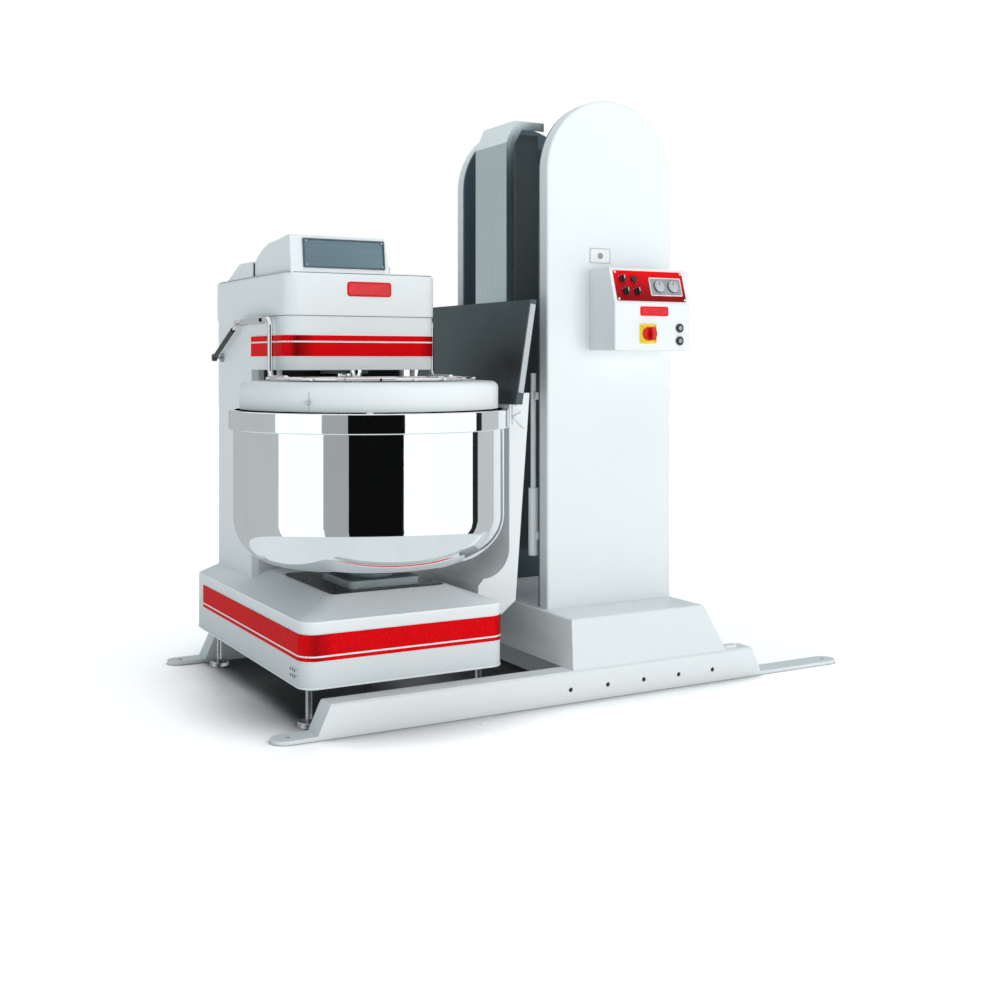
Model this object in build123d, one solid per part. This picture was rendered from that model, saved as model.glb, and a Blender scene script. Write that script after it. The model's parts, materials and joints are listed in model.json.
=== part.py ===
from build123d import *

import math
import os

# Self-tipping spiral dough mixer. A two-column tipper stands on two floor rails and carries the
# mixer on a swing arm, which turns about a shaft at the centre of the columns' arched tops.
# Millimetres, +Z up, +X from the mixer towards the columns, +Y to the back.
# The origin is on the floor, under the middle of the whole object.

# ---- driving dimensions: overall ----
HALF_LENGTH = 1065.0            # rails and bowl rim, tip to middle
HALF_DEPTH = 640.0              # bowl front and rear rail to middle
HEIGHT = 2000.0                 # top of the columns

# ---- tipper ----
RAIL_TOP = 100.0
RAIL_WIDTH = 80.0
RAIL_WALL = 6.0
RAIL_ENDS = (-944.0, 705.0)     # foot of the slanted ends
RAIL_SLANT = 46.0
TONGUE = 12.0                   # thickness of the floor tongues
FRONT_RAIL_Y = (-562.0, -562.0 + RAIL_WIDTH)
REAR_RAIL_Y = (HALF_DEPTH - RAIL_WIDTH, HALF_DEPTH)
ANCHOR_X = 1018.0               # anchor hole, from the middle
ANCHOR_R = 9.0
WEB_HOLE_R = 7.5
WEB_HOLES = (-81.0, 142.3, 5)   # first hole, spacing, count
PLINTH_X = (-70.0, 551.0)
PLINTH_Y = (-558.0, 634.0)
PLINTH_TOP = 248.0
PLINTH_INSET_X = 42.0
PLINTH_INSET_Y = 76.0
COLUMN_X = 248.0                # middle of the columns and the tipping axis
COLUMN_R = 258.0                # half their width, and the radius of the arch
COLUMN_DEPTH = 60.0
FRONT_COLUMN_Y = -299.0         # outer faces of the columns
REAR_COLUMN_Y = 371.0
SHEET = 3.0
PLATE = 10.0
AXIS_Z = HEIGHT - COLUMN_R      # height of the tipping axis
AXIS_R = 35.0
CHAIN_PITCH = 25.4
DRIVEN_TEETH = 48
DRIVE_TEETH = 15
DRIVE_Z = 178.0                 # gearmotor shaft, inside the plinth
CHAIN_Y = -272.0
GLAND = (450.0, 145.0)          # x, z of the supply inlet in the plinth's back
GLAND_R = 11.0

# ---- control box on the front column ----
BOX_X = (161.0, 473.0)
BOX_Z = (1129.0, 1409.0)
BOX_DEPTH = 155.0
BOX_TOP_DEPTH = 118.0
BOX_BEND_Z = 1286.0             # where the sloping fascia face begins

# ---- mixer ----
BOWL = (-615.0, -190.0)         # bowl axis
BOWL_RIM_R = 450.0
BOWL_R = 435.0
BOWL_RIM_Z = (877.0, 938.0)
BOWL_BOTTOM = 450.0
BOWL_CORNER = 150.0
BOWL_WALL = 3.0
SPIRAL = (-615.0, 30.0)         # spiral axis
SPIRAL_R = 155.0                # to the middle of the bar
SPIRAL_BAR = 20.0
SPIRAL_Z = (600.0, 850.0)       # helix
SPIRAL_PITCH = 235.0
SPIRAL_FOOT = 492.0             # where the lowest arm meets the axis
SPINDLE_R = 30.0
BREAKER_R = 18.0
BASE_X = (-953.0, -276.0)
BASE_Y = (-483.0, 590.0)
BASE_Z = (126.0, 325.0, 375.0)  # bottom, top of the upright sides, plateau
BASE_INSET = 138.0
BASE_CORNER = 50.0
BODY_X = (-880.0, -350.0)
BODY_Y = 212.0                  # front of the body column
HEAD_Y = -137.0                 # front of the head
HEAD_Z = (1063.0, 1254.0)
HEAD_CORNER = 45.0
RECESS_R = 468.0                # hollow in the body column around the bowl
WALL = 5.0
GUARD_HINGE = (150.0, 1225.0)   # y, z of the guard's hinge axis
GUARD_ARM_X = 24.0              # arm's middle, outside the head's sides
HINGE_R = 10.0
GUARD_R = 415.0
GUARD_Z = (941.0, 1028.0)
GUARD_CUT = (-150.0, -40.0)     # y where the moving guard ends: under the head, and beside it
GUARD_WING_X = 275.0
GUARD_LEDGE_R = 300.0
ARM_FOOT_Z = GUARD_Z[1] + 10    # where the guard's side arms run on to its grid
STRUT_FOOT = (535.0, 1105.0)    # y, z
STRUT_HEAD = (270.0, 1221.0)
STRUT_OFFSET = 32.0             # strut's middle, outside the body's left side
FOOT_X = (-905.0, -330.0)
FOOT_Y = (-400.0, 500.0)

# ---- swing arm, tipping frame and chute ----
ARM_X = (-30.0, 96.0)
ARM_Y = (-60.0, 130.0)
ARM_Z = (420.0, 1900.0)
ARM_WALL = 12.0
COVER_X = (-46.0, 108.0)
COVER_Y = (-80.0, 151.0)
COVER_Z = (985.0, 1944.0)
COVER_CHAMFER = (34.0, 79.0)
COVER_FLANGE = 30.0
LINK_Z = (520.0, 930.0)         # stub between the arm and the frame
FRAME_Y = (-299.0, 371.0)
FRAME_Z = (238.0, 985.0)
FRAME_LEFT = -158.0
FRAME_WALL = 6.0
CHUTE_Y = (-352.0, 431.0)
CHUTE_LOW = (-158.0, 990.0)
CHUTE_HIGH = (-109.0, 1297.0)
CHUTE_LIP = 42.0                # how far the panel reaches down inside the frame's edge
CHUTE_FLANGE = 26.0

# ---- drives ----
BOWL_MOTOR = (-615.0, 400.0)
SPIRAL_MOTOR = (-615.0, 420.0)
MOTOR_SHAFT_R = 14.0
PULLEY_Z = (180.0, 230.0)
SPIRAL_PULLEY_Z = (1290.0, 1345.0)
BOWL_PULLEY_R = 250.0
MOTOR_PULLEY_R = 50.0
SPIRAL_PULLEY_R = 145.0
BELT = 8.0

# ---- fits ----
RUNNING = 0.05                  # radial clearance of every shaft in its bearing
SEATED = 0.02                   # radial clearance of a wheel or arm fixed on its shaft
GAP = 0.5


def block(x, y, z):
    """Box between low and high planes on each axis."""
    sizes = [high - low for low, high in (x, y, z)]
    middle = [(low + high) / 2 for low, high in (x, y, z)]
    return Pos(*middle) * Box(*sizes)


def rod(start, end, radius):
    """Cylinder between two points."""
    run = Vector(*end) - Vector(*start)
    return Part() + Solid.make_cylinder(radius, run.length, Plane(origin=start, z_dir=run))


def upright(centre, z, radius):
    """Vertical cylinder about centre (x, y), between two heights."""
    return rod((*centre, z[0]), (*centre, z[1]), radius)


def along_y(x, z, y, radius):
    """Cylinder along Y between y[0] and y[1]."""
    return rod((x, y[0], z), (x, y[1], z), radius)


def along_x(y, z, x, radius):
    """Cylinder along X between x[0] and x[1]."""
    return rod((x[0], y, z), (x[1], y, z), radius)


def front_profile(outline, y):
    """Face drawn in X and Z, carried along Y."""
    plane = Plane(origin=(0, y[1], 0), x_dir=(1, 0, 0), z_dir=(0, -1, 0))
    return extrude(plane * outline, y[1] - y[0])


def side_profile(outline, x):
    """Face drawn in Y and Z, carried along X."""
    plane = Plane(origin=(x[0], 0, 0), x_dir=(0, 1, 0), z_dir=(1, 0, 0))
    return extrude(plane * outline, x[1] - x[0])


def polygon(*points):
    return make_face(Polyline(*points, close=True))


def slab(x, y, z, radius):
    """Box with rounded upright corners."""
    plan = Pos((x[0] + x[1]) / 2, (y[0] + y[1]) / 2, z[0]) * RectangleRounded(
        x[1] - x[0], y[1] - y[0], radius
    )
    return extrude(plan, z[1] - z[0])


def front_rounded(x, y, radius):
    """Plan of a casing: a rectangle whose two front corners are rounded."""
    width, depth = x[1] - x[0], y[1] - y[0]
    middle_x, middle_y = (x[0] + x[1]) / 2, (y[0] + y[1]) / 2
    longer = Pos(middle_x, middle_y + radius) * RectangleRounded(width, depth + 2 * radius, radius)
    return longer & Pos(middle_x, middle_y) * Rectangle(width, depth)


def casing(x, y, z, radius):
    """Box with rounded upright corners at the front alone."""
    return extrude(Pos(0, 0, z[0]) * front_rounded(x, y, radius), z[1] - z[0])


def frustum(x, y, z, x_top, y_top):
    """Straight-sided solid between two level rectangles."""
    faces = [
        Pos((a[0] + a[1]) / 2, (b[0] + b[1]) / 2, height) * Rectangle(a[1] - a[0], b[1] - b[0])
        for a, b, height in ((x, y, z[0]), (x_top, y_top, z[1]))
    ]
    return loft(faces)


def bent_bar(points, radius, bend):
    """Round bar along a path whose corners are arcs."""
    path = FilletPolyline(*points, radius=bend)
    return sweep(Plane(origin=path @ 0, z_dir=path % 0) * Circle(radius), path=path)


def group(solids):
    return Compound(children=[solid for item in solids for solid in item.solids()])


def inset(pair, amount):
    return pair[0] + amount, pair[1] - amount


# =============================================================== tipper frame
def rail(y):
    """Inverted channel with slanted ends, on a flat floor tongue at each end."""
    left, right = RAIL_ENDS
    wall, top = RAIL_WALL, RAIL_TOP

    def channel(margin, floor):
        return polygon(
            (left + margin, floor),
            (right - margin, floor),
            (right - margin - RAIL_SLANT, top - margin),
            (left + margin + RAIL_SLANT, top - margin),
        )

    body = front_profile(channel(0, 0), y)
    edges = body.edges().filter_by(Axis.X).group_by(Axis.Z)[-1]
    body = chamfer(edges, RAIL_WALL)
    body -= front_profile(channel(wall * 1.6, -1), inset(y, wall))
    middle = (y[0] + y[1]) / 2
    for sign, foot in ((-1, left), (1, right)):
        tip = sign * (HALF_LENGTH - RAIL_WIDTH / 2)
        ends = sorted((foot - sign * 60, tip))
        tongue = block(ends, y, (0, TONGUE)) + upright((tip, middle), (0, TONGUE), RAIL_WIDTH / 2)
        body += tongue
        body -= upright((sign * ANCHOR_X, middle), (-1, TONGUE + 1), ANCHOR_R)
    first, step, count = WEB_HOLES
    web = (y[0] - 1, y[0] + wall + 1) if y[0] < 0 else (y[1] - wall - 1, y[1] + 1)
    for i in range(count):
        body -= along_y(first + i * step, 42.0, web, WEB_HOLE_R)
    return body


def cross_beams():
    y = (FRONT_RAIL_Y[1], REAR_RAIL_Y[0])
    beams = []
    for x in (-20.0, 440.0):
        tube = block((x, x + 60), y, (20, 92)) - block((x + 5, x + 55), (y[0] - 1, y[1] + 1), (25, 87))
        beams.append(tube)
    return group(beams)


def plinth():
    """Sloping sheet-metal box that spans the rails and carries both columns."""
    z = (RAIL_TOP, PLINTH_TOP)
    top_x, top_y = inset(PLINTH_X, PLINTH_INSET_X), inset(PLINTH_Y, PLINTH_INSET_Y)
    wall = 6.0
    outer = frustum(PLINTH_X, PLINTH_Y, z, top_x, top_y)
    outer = fillet(outer.edges().group_by(Axis.Z)[-1], 8)
    inner = frustum(
        inset(PLINTH_X, wall), inset(PLINTH_Y, wall), (z[0] - 1, z[1] - wall),
        inset(top_x, wall), inset(top_y, wall),
    )
    slot = block((COLUMN_X - 95, COLUMN_X + 95), (-292, -252), (200, 260))
    inlet = along_y(GLAND[0], GLAND[1], (PLINTH_Y[1] - 70, PLINTH_Y[1] + 1), 18)
    return outer - inner - slot - inlet


def arch(radius, bottom):
    """Column outline: straight sides under a half circle."""
    return (
        Pos(COLUMN_X, (bottom + AXIS_Z) / 2) * Rectangle(2 * radius, AXIS_Z - bottom)
        + Pos(COLUMN_X, AXIS_Z) * Circle(radius)
    )


def column_cover(outer, sign):
    """Arched tray, open towards the gap; sign +1 opens towards +Y."""
    deep = COLUMN_DEPTH - PLATE
    y = sorted((outer, outer + sign * deep))
    tray = front_profile(arch(COLUMN_R, PLINTH_TOP), y)
    face = tray.faces().sort_by(Axis.Y)[0 if sign > 0 else -1]
    tray = fillet(face.edges().filter_by(lambda e: e.center().Z > PLINTH_TOP + 1), 8)
    hollow = sorted((outer + sign * SHEET, outer + sign * (deep + 1)))
    return tray - front_profile(arch(COLUMN_R - SHEET, PLINTH_TOP - 1), hollow)


def column_plate(outer, sign):
    """Structural plate that closes the tray and holds the shaft bearing."""
    y = sorted((outer + sign * (COLUMN_DEPTH - PLATE), outer + sign * COLUMN_DEPTH))
    plate = front_profile(arch(COLUMN_R - 1, PLINTH_TOP), y)
    return plate - along_y(COLUMN_X, AXIS_Z, (y[0] - 1, y[1] + 1), 56)


def tip_bearings():
    """Flanged cartridge bearing on each column plate."""
    units = []
    for outer, sign in ((FRONT_COLUMN_Y, 1), (REAR_COLUMN_Y, -1)):
        inner_face = outer + sign * COLUMN_DEPTH
        hub = sorted((inner_face - sign * PLATE, inner_face))
        flange = sorted((inner_face, inner_face + sign * 14))
        unit = along_y(COLUMN_X, AXIS_Z, hub, 55) + along_y(COLUMN_X, AXIS_Z, flange, 85)
        unit -= along_y(COLUMN_X, AXIS_Z, (hub[0] - 30, hub[1] + 30), AXIS_R + RUNNING)
        units.append(unit)
    return group(units)


def pitch_radius(teeth):
    return CHAIN_PITCH / (2 * math.sin(math.pi / teeth))


def sprocket(centre_z, teeth, bore):
    """Chain wheel about (COLUMN_X, centre_z): a disc with a ring of short teeth and a hub."""
    radius = pitch_radius(teeth)
    y = (CHAIN_Y - 6, CHAIN_Y + 6)
    wheel = along_y(COLUMN_X, centre_z, y, radius - 7)
    tooth = front_profile(
        polygon((-7.5, radius - 9), (7.5, radius - 9), (2.5, radius + 5), (-2.5, radius + 5)), y
    )
    place = Pos(COLUMN_X, 0, centre_z)
    wheel += [place * Rot(0, 360 * i / teeth, 0) * tooth for i in range(teeth)]
    wheel += along_y(COLUMN_X, centre_z, (CHAIN_Y - 6, CHAIN_Y + 14), bore + 18)
    return wheel - along_y(COLUMN_X, centre_z, (CHAIN_Y - 10, CHAIN_Y + 20), bore)


def drive_chain():
    """Two side bands around both sprockets, joined by rollers along the straight runs."""
    top_r, low_r = pitch_radius(DRIVEN_TEETH), pitch_radius(DRIVE_TEETH)
    span = AXIS_Z - DRIVE_Z
    lean = math.asin((top_r - low_r) / span)

    def loop(offset):
        points = []
        for sign in (1, -1):
            for radius, z in ((top_r + offset, AXIS_Z), (low_r + offset, DRIVE_Z)):
                points.append(
                    (COLUMN_X + sign * radius * math.cos(lean), z - radius * math.sin(lean))
                )
        tangents = polygon(points[0], points[1], points[3], points[2])
        return (
            tangents
            + Pos(COLUMN_X, AXIS_Z) * Circle(top_r + offset)
            + Pos(COLUMN_X, DRIVE_Z) * Circle(low_r + offset)
        )

    band = loop(8) - loop(-8)
    chain = [
        front_profile(band, (CHAIN_Y - 10, CHAIN_Y - 7)),
        front_profile(band, (CHAIN_Y + 7, CHAIN_Y + 10)),
    ]
    pins = 12
    for sign in (1, -1):
        for i in range(1, pins):
            share = i / pins
            radius = top_r + (low_r - top_r) * share
            z = AXIS_Z + (DRIVE_Z - AXIS_Z) * share - radius * math.sin(lean)
            x = COLUMN_X + sign * radius * math.cos(lean)
            chain.append(along_y(x, z, (CHAIN_Y - 8, CHAIN_Y + 8), 5))
    return chain[0] + chain[1:]


def tip_gearmotor():
    """Gearbox and motor lying in the plinth, with a foot plate between the cross beams."""
    y = (-230.0, -90.0)
    box = block((COLUMN_X - 85, COLUMN_X + 85), y, (112, 238))
    motor = along_y(COLUMN_X, DRIVE_Z, (y[1], 190), 58)
    fan = along_y(COLUMN_X, DRIVE_Z, (190, 225), 50)
    foot = block((COLUMN_X - 230, COLUMN_X + 220), y, (92, 112))
    nose = along_y(COLUMN_X, DRIVE_Z, (-250, y[0]), 34)
    bore = along_y(COLUMN_X, DRIVE_Z, (-260, -150), 15 + RUNNING)
    return box + motor + fan + foot + nose - bore


def drive_sprocket():
    shaft = along_y(COLUMN_X, DRIVE_Z, (CHAIN_Y - 6, -155), 15)
    return sprocket(DRIVE_Z, DRIVE_TEETH, 15) + shaft


# ================================================================ control box
def box_outline(margin):
    """Side of the control box in Y and Z, its sloping upper front included."""
    back = FRONT_COLUMN_Y
    front, top_front = back - BOX_DEPTH, back - BOX_TOP_DEPTH
    low, high = BOX_Z
    return polygon(
        (back + (1 if margin else 0), low + margin),
        (front + margin, low + margin),
        (front + margin, BOX_BEND_Z),
        (top_front + margin, high - margin),
        (back + (1 if margin else 0), high - margin),
    )


SLOPE = math.degrees(math.atan2(BOX_DEPTH - BOX_TOP_DEPTH, BOX_Z[1] - BOX_BEND_Z))
BOX_MIDDLE = (BOX_X[0] + BOX_X[1]) / 2
FASCIA_Z = (BOX_BEND_Z + BOX_Z[1]) / 2
FASCIA_Y = FRONT_COLUMN_Y - (BOX_DEPTH + BOX_TOP_DEPTH) / 2
# Local frames on the box: x to the right, y up the face, z out of it.
FASCIA = Plane(
    origin=(BOX_MIDDLE, FASCIA_Y, FASCIA_Z),
    x_dir=(1, 0, 0),
    z_dir=(0, -math.cos(math.radians(SLOPE)), math.sin(math.radians(SLOPE))),
)
LOWER = Plane(
    origin=(BOX_MIDDLE, FRONT_COLUMN_Y - BOX_DEPTH, 1200), x_dir=(1, 0, 0), z_dir=(0, -1, 0)
)
SWITCH = (-20.0, -15.0)                       # on LOWER
PUSH_BUTTONS = ((112.0, 6.0), (112.0, -38.0))  # on LOWER
SELECTORS = ((-112.0, 22.0), (-104.0, -22.0), (-58.0, -22.0))  # on FASCIA
PANEL_BUTTON = (-66.0, 22.0)                  # on FASCIA
TIMERS = ((34.0, -2.0), (92.0, -2.0))         # on FASCIA
FASCIA_SHEET = 3.0
DIAL_SHEET = 2.0


def disc(plane, at, low, high, radius):
    """Cylinder standing on a plane at local (x, y), between two heights over it."""
    start, end = plane.from_local_coords((*at, low)), plane.from_local_coords((*at, high))
    return rod(tuple(start), tuple(end), radius)


def panel(plane, at, size, low, high, corner):
    sketch = plane.offset(low) * Pos(*at) * RectangleRounded(*size, corner)
    return extrude(sketch, high - low)


def control_box():
    outer = side_profile(box_outline(0), BOX_X)
    front = outer.edges().filter_by(Axis.Z).sort_by(Axis.Y)[:2]
    outer = fillet(front, 6)
    box = outer - side_profile(box_outline(SHEET), inset(BOX_X, SHEET))
    box -= disc(LOWER, SWITCH, -10, 10, 9)
    for at in PUSH_BUTTONS:
        box -= disc(LOWER, at, -10, 10, 11.2)
    for at in (*SELECTORS, PANEL_BUTTON, *TIMERS):
        box -= disc(FASCIA, at, -10, 10, 5)
    entry_y = (FRONT_COLUMN_Y - 1, FRONT_COLUMN_Y + 1)
    return box - along_y(BOX_X[0] + 40, BOX_Z[0] + 30, entry_y, 8)


def control_fascia():
    """Red front plate with a raised window frame around the two timers."""
    plate = panel(FASCIA, (0, 0), (286, 108), 0, FASCIA_SHEET, 5)
    window = panel(FASCIA, (63, -2), (128, 62), FASCIA_SHEET, FASCIA_SHEET + DIAL_SHEET, 4)
    plate += window
    for at in (*SELECTORS, PANEL_BUTTON, *TIMERS):
        plate -= disc(FASCIA, at, -1, 10, 4 + RUNNING)
    return plate


def switch_plate():
    return panel(LOWER, SWITCH, (68, 68), 0, 4, 4) - disc(LOWER, SWITCH, -1, 6, 8 + RUNNING)


def main_switch_knob():
    """Round red knob with a grip bar, on a spindle through its plate."""
    knob = disc(LOWER, SWITCH, 4 + GAP, 20, 24) + panel(LOWER, SWITCH, (14, 46), 20, 38, 5)
    return knob + disc(LOWER, SWITCH, -30, 6, 8)


def push_button(at):
    return disc(LOWER, at, -20, 7, 9.5)


def button_bezels():
    rings = []
    for at in PUSH_BUTTONS:
        ring = disc(LOWER, at, 0, 5, 15) + disc(LOWER, at, -14, 0, 11.2)
        rings.append(ring - disc(LOWER, at, -16, 6, 9.5 + RUNNING))
    return group(rings)


def selector_knob(at):
    knob = disc(FASCIA, at, FASCIA_SHEET + GAP, 12, 12) + panel(FASCIA, at, (7, 24), 12, 20, 3)
    return knob + disc(FASCIA, at, -14, 5, 4)


def panel_button():
    cap = disc(FASCIA, PANEL_BUTTON, FASCIA_SHEET + 4, 12, 11)
    return cap + disc(FASCIA, PANEL_BUTTON, -14, 8, 4)


def timer_dial(at):
    face = FASCIA_SHEET + DIAL_SHEET
    return disc(FASCIA, at, face + GAP, face + 7, 21) + disc(FASCIA, at, -14, face + 2, 4)


def info_plates():
    """Blank badge on the control box, and a blank label on the column above it."""
    badge = panel(LOWER, (6, 62), (116, 32), 0, 2, 6)
    label = block((161, 246), (FRONT_COLUMN_Y - 2, FRONT_COLUMN_Y), (1431, 1484))
    return group([badge, label])


def cable_conduit():
    """Rigid pipe with a wider lower sleeve, clipped to the front column's inner face."""
    x, y = -12.0, -209.0
    pipe = upright((x, y), (422, 654), 17) + upright((x, y), (654, 1050), 9.5)
    inner = FRONT_COLUMN_Y + COLUMN_DEPTH
    for z in (480, 960):
        pipe += block((x - 5, 30), (inner, y), (z, z + 24))
    return pipe


def cable_gland():
    """Supply inlet low on the plinth's back wall."""
    x, z = GLAND
    share = (z - RAIL_TOP) / (PLINTH_TOP - RAIL_TOP)
    wall_y = PLINTH_Y[1] - PLINTH_INSET_Y * share
    body = along_y(x, z, (wall_y - 22, wall_y + 14), 17.9)
    nut = front_profile(Pos(x, z) * RegularPolygon(22, 6), (wall_y + 14, wall_y + 28))
    return body + nut - along_y(x, z, (wall_y - 25, wall_y + 35), GLAND_R)


# ================================================================= swing arm
def tip_shaft():
    return along_y(COLUMN_X, AXIS_Z, (FRONT_COLUMN_Y + 8, REAR_COLUMN_Y - 8), AXIS_R)


def swing_arm():
    """Box-section arm with a crank to the shaft and a link into the tipping frame."""
    left, right = ARM_X
    low, high = ARM_Z
    outline = polygon((left, low), (left, high - 60), (left + 26, high), (right, high), (right, low))
    arm = front_profile(outline, ARM_Y)
    arm -= block(inset(ARM_X, ARM_WALL), inset(ARM_Y, ARM_WALL), (low - 1, 1480))
    root, hub = right - 10, COLUMN_X + 30
    crank = polygon((root, 1540), (hub, AXIS_Z - 70), (hub, AXIS_Z + 70), (root, 1880))
    arm += front_profile(crank, inset(ARM_Y, 55))
    arm += along_y(COLUMN_X, AXIS_Z, ARM_Y, 76)
    arm -= along_y(COLUMN_X, AXIS_Z, (ARM_Y[0] - 1, ARM_Y[1] + 1), AXIS_R + SEATED)
    return arm + block((FRAME_LEFT + FRAME_WALL, left + 1), ARM_Y, LINK_Z)


def arm_cover():
    """Stainless tray over the arm's outer side: a wide back, narrow flanges and a bevelled top."""
    cut_x, cut_z = COVER_CHAMFER

    def outline(margin):
        left, right = COVER_X[0] + margin, COVER_X[1] + (1 if margin else 0)
        low, high = COVER_Z[0] - (1 if margin else 0), COVER_Z[1] - margin
        return polygon(
            (left, low), (left, high - cut_z), (left + cut_x, high), (right, high), (right, low)
        )

    tray = front_profile(outline(0), COVER_Y) - front_profile(outline(2), inset(COVER_Y, 2))
    left, right = COVER_X[0] + COVER_FLANGE, COVER_X[1] + 1
    low, high = COVER_Z[0] - 1, COVER_Z[1] - COVER_FLANGE
    window = polygon(
        (left, low), (left, high + 20 - cut_z), (left + cut_x, high), (right, high), (right, low)
    )
    return tray - front_profile(window, (COVER_Y[0] - 1, COVER_Y[1] + 1))


def frame_outline():
    """Tipping frame in X and Z: slanted right side, and a foot that curves in under the bowl."""
    foot_z, curve = 372.0, 98.0
    foot_x = FRAME_LEFT - curve
    edges = [
        Polyline(
            (foot_x, foot_z), (BASE_X[1], foot_z - 22), (BASE_X[1], FRAME_Z[0]),
            (-203, FRAME_Z[0]), (-134, 291), (-80, FRAME_Z[1]), (FRAME_LEFT, FRAME_Z[1]),
            (FRAME_LEFT, foot_z + curve),
        ),
        RadiusArc((FRAME_LEFT, foot_z + curve), (foot_x, foot_z), curve),
    ]
    return make_face(edges)


def tipping_frame():
    outline = frame_outline()
    frame = front_profile(outline, FRAME_Y)
    frame -= front_profile(offset(outline, amount=-FRAME_WALL), inset(FRAME_Y, FRAME_WALL))
    window = block((-135, -60), inset(ARM_Y, -2), inset(LINK_Z, -2))
    return frame - window


def chute():
    """Leaning stainless panel with a narrow flange along its front and back edges."""
    lean = (CHUTE_HIGH[0] - CHUTE_LOW[0]) / (CHUTE_HIGH[1] - CHUTE_LOW[1])
    low = (CHUTE_LOW[0] - lean * CHUTE_LIP, CHUTE_LOW[1] - CHUTE_LIP)

    def leaning(width):
        return polygon(low, CHUTE_HIGH, (CHUTE_HIGH[0] + width, CHUTE_HIGH[1]), (low[0] + width, low[1]))

    front, back = CHUTE_Y
    sheet = front_profile(leaning(SHEET), CHUTE_Y)
    for y in ((front, front + SHEET), (back - SHEET, back)):
        sheet += front_profile(leaning(CHUTE_FLANGE), y)
    return sheet - block((FRAME_LEFT, 0), inset(FRAME_Y, -1), (900, FRAME_Z[1] + 1))


def chute_bracket():
    """Plate, screw head and spring clip that hold the chute's front foot to the frame."""
    y = FRAME_Y[0]
    plate = block((-148, -110), (y - 4, y), (880, 1010))
    screw = along_y(-132, 948, (y - 10, y - 3), 7)
    clip = [rod((-146, y - 6, 905), (x, y - 6, z), 4) for x, z in ((-104, 868), (-118, 918))]
    return plate + screw + clip


# ================================================================ mixer body
def base_solid(margin, open_below):
    """Mixer base: upright sides with rounded front corners under a hipped top."""
    low = BASE_Z[0] - (1 if open_below else 0)
    shoulder, top = BASE_Z[1] - margin * 0.3, BASE_Z[2] - margin
    x, y = inset(BASE_X, margin), inset(BASE_Y, margin)
    top_x = inset(BASE_X, BASE_INSET + margin)
    top_y = (BASE_Y[0] + BASE_INSET + margin, BASE_Y[1] - margin)
    hip = loft([
        Pos(0, 0, shoulder) * front_rounded(x, y, BASE_CORNER - margin),
        Pos(0, 0, top) * front_rounded(top_x, top_y, BASE_CORNER / 2 - margin),
    ])
    return casing(x, y, (low, shoulder), BASE_CORNER - margin) + hip


def mixer_base():
    shell = base_solid(0, False) - base_solid(WALL, True)
    shell -= upright(BOWL, (340, 400), 76)
    shell -= upright(BOWL_MOTOR, (340, 400), 100)
    for x in FOOT_X:
        for y in FOOT_Y:
            shell += upright((x, y), (BASE_Z[0], BASE_Z[2]), 16) & base_solid(0, False)
            shell -= upright((x, y), (BASE_Z[0] - 1, BASE_Z[0] + 60), 10)
    for z in (160, 180):
        for y in (-430, -412, -394):
            shell -= along_x(y, z, (BASE_X[0] - 1, BASE_X[0] + WALL + 1), 4)
    return shell


def band(x, y, z, corner, cut_y):
    """Strip wrapped around the front of a rounded rectangle, back to cut_y."""
    wrap = casing(inset(x, -2.5), inset(y, -2.5), z, corner + 2.5)
    wrap -= casing(x, y, (z[0] - 1, z[1] + 1), corner)
    return wrap - block((x[0] - 9, x[1] + 9), (cut_y, y[1] + 9), (z[0] - 1, z[1] + 1))


def base_band():
    strip = band(BASE_X, BASE_Y, (209, 287), BASE_CORNER, BASE_Y[1] - 60)
    return strip - block((BASE_X[1] - 1, BASE_X[1] + 9), (FRAME_Y[0] - 6, 999), (200, 300))


def levelling_feet():
    """Threaded studs with round pads; the rest stop that carries the lowered mixer."""
    feet = []
    for x in FOOT_X:
        for y in FOOT_Y:
            pad = fillet(upright((x, y), (0, 16), 34).edges().group_by(Axis.Z)[-1], 5)
            nut = extrude(Pos(x, y, 112) * RegularPolygon(18, 6), 13)
            feet.append(pad + upright((x, y), (10, BASE_Z[0] + 50), 10) + nut)
    return group(feet)


def body_outline(margin):
    """Body column and head in Y and Z, as one inverted L."""
    return polygon(
        (BASE_Y[1] - margin, BASE_Z[1] + margin),
        (BASE_Y[1] - margin, HEAD_Z[1] + (1 if margin else 0)),
        (HEAD_Y + margin, HEAD_Z[1] + (1 if margin else 0)),
        (HEAD_Y + margin, HEAD_Z[0] + margin),
        (BODY_Y + margin, HEAD_Z[0] + margin),
        (BODY_Y + margin, BASE_Z[1] + margin),
    )


def body_solid(margin):
    x = inset(BODY_X, margin)
    solid = side_profile(body_outline(margin), x)
    plan = casing(x, (HEAD_Y + margin, BASE_Y[1] - margin), (300, 1300), HEAD_CORNER - margin)
    return (solid & plan) - upright(BOWL, (300, HEAD_Z[0] + margin), RECESS_R + margin)


def machine_body():
    """Welded casing of the body column and head: open on top, under the hood, and at the back."""
    body = body_solid(0) - body_solid(WALL)
    body -= base_solid(0, False)
    body -= block((-860, -370), (BASE_Y[1] - WALL - 2, BASE_Y[1] + 1), (400, 1220))
    body -= upright(SPIRAL, (HEAD_Z[0] - 1, HEAD_Z[0] + 20), 82)
    hinge_y, hinge_z = GUARD_HINGE
    body -= along_x(hinge_y, hinge_z, (BODY_X[0] - 20, BODY_X[1] + 20), HINGE_R + RUNNING)
    shelf = block(inset(BODY_X, WALL), (270, BASE_Y[1] - WALL), (1240, 1250))
    shelf -= upright(SPIRAL_MOTOR, (1230, 1260), 40)
    return body + (shelf & body_solid(WALL))


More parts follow.
